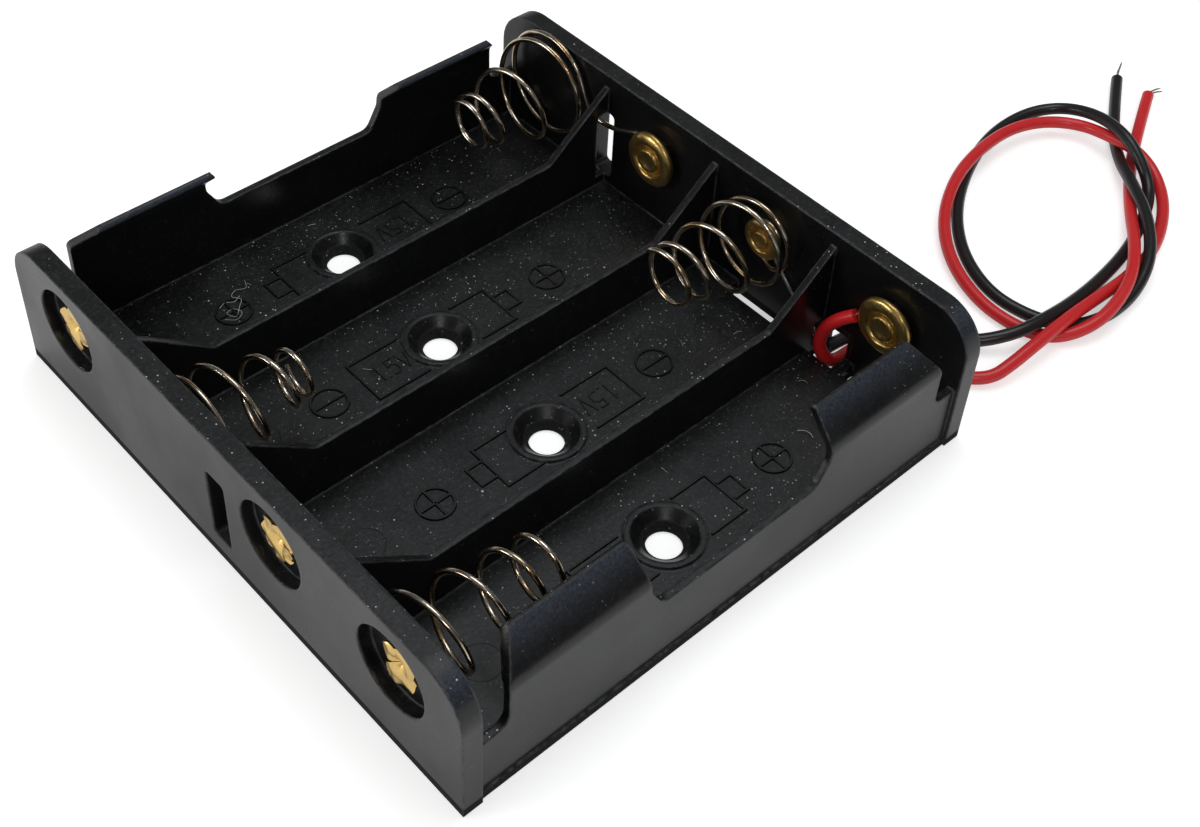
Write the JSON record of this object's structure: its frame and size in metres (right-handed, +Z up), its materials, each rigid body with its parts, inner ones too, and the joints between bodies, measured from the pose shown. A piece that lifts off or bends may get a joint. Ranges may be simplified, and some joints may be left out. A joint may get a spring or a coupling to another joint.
{
  "type": "cylindrical cell holder",
  "caption": "Open-topped moulded tray that holds round cells side by side in series, with conical spring and rivet contacts and a pair of flexible leads.",
  "frame": {"origin": "centre of the tray's underside", "axes": "+X along the cells towards the end wall that the leads leave by, +Y across the bays towards bay 1, +Z up out of the open top"},
  "size_m": [0.1191, 0.0636, 0.0155],
  "materials": {
    "tray_plastic": "black, satin outside, fine dust in the bays",
    "rivet_brass": "polished, slightly tarnished in the groove",
    "spring_wire": "nickel-plated, warm grey",
    "bare_wire": "tinned",
    "black_insulation": "smooth, glossy",
    "red_insulation": "smooth, glossy"
  },
  "bodies": {
    "holder": {"tray": "tray_plastic", "rivet_left_1": "rivet_brass", "rivet_left_3": "rivet_brass", "rivet_left_4": "rivet_brass", "rivet_right_2": "rivet_brass", "rivet_right_3": "rivet_brass", "rivet_right_4": "rivet_brass", "link_wire": "bare_wire", "black_lead": "black_insulation", "red_lead": "red_insulation", "black_strands": "bare_wire", "red_strands": "bare_wire", "black_tip": "bare_wire", "red_tip": "bare_wire"},
    "contact_spring_1": {"spring_1": "spring_wire"},
    "contact_spring_2": {"spring_2": "spring_wire"},
    "contact_spring_3": {"spring_3": "spring_wire"},
    "contact_spring_4": {"spring_4": "spring_wire"}
  },
  "joints": [
    {"name": "spring_1_travel", "type": "slide", "parent": "holder", "child": "contact_spring_1", "axis": [1, 0, 0], "range_m": [0, 0.0088], "stiffness_N_per_m": 400, "deforming": ["spring_1"]},
    {"name": "spring_2_travel", "type": "slide", "parent": "holder", "child": "contact_spring_2", "axis": [-1, 0, 0], "range_m": [0, 0.0088], "stiffness_N_per_m": 400, "deforming": ["spring_2"]},
    {"name": "spring_3_travel", "type": "slide", "parent": "holder", "child": "contact_spring_3", "axis": [1, 0, 0], "range_m": [0, 0.0105], "stiffness_N_per_m": 400, "deforming": ["spring_3"]},
    {"name": "spring_4_travel", "type": "slide", "parent": "holder", "child": "contact_spring_4", "axis": [-1, 0, 0], "range_m": [0, 0.0105], "stiffness_N_per_m": 400, "deforming": ["spring_4"]}
  ]
}
